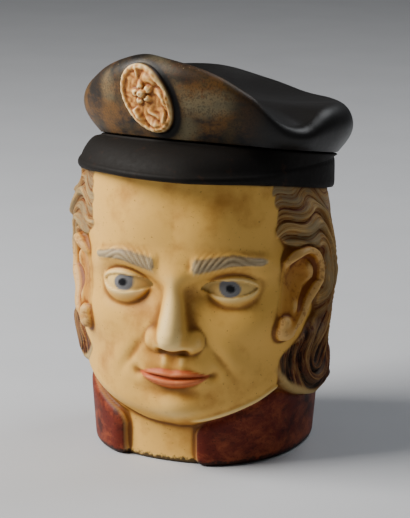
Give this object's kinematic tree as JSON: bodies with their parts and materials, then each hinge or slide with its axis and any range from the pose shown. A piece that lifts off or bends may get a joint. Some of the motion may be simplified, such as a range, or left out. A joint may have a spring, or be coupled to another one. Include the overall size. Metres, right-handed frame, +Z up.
{
  "type": "tobacco jar",
  "caption": "Lidded ceramic tobacco jar in the form of a head with a peaked cap, whose crown lifts off as the lid.",
  "frame": {"origin": "middle of the flat underside", "axes": "+Z up, the face looks along -Y, +X is the head's own left"},
  "size_m": [0.1329, 0.1444, 0.194],
  "materials": {
    "jar_glaze": "satin cream glaze over painted clay, with brown wash in the hollows",
    "lid_glaze": "satin brown-black glaze, worn through to rust brown and blue-grey"
  },
  "bodies": {
    "root": {"jar": "jar_glaze", "lid": "lid_glaze"}
  },
  "joints": []
}
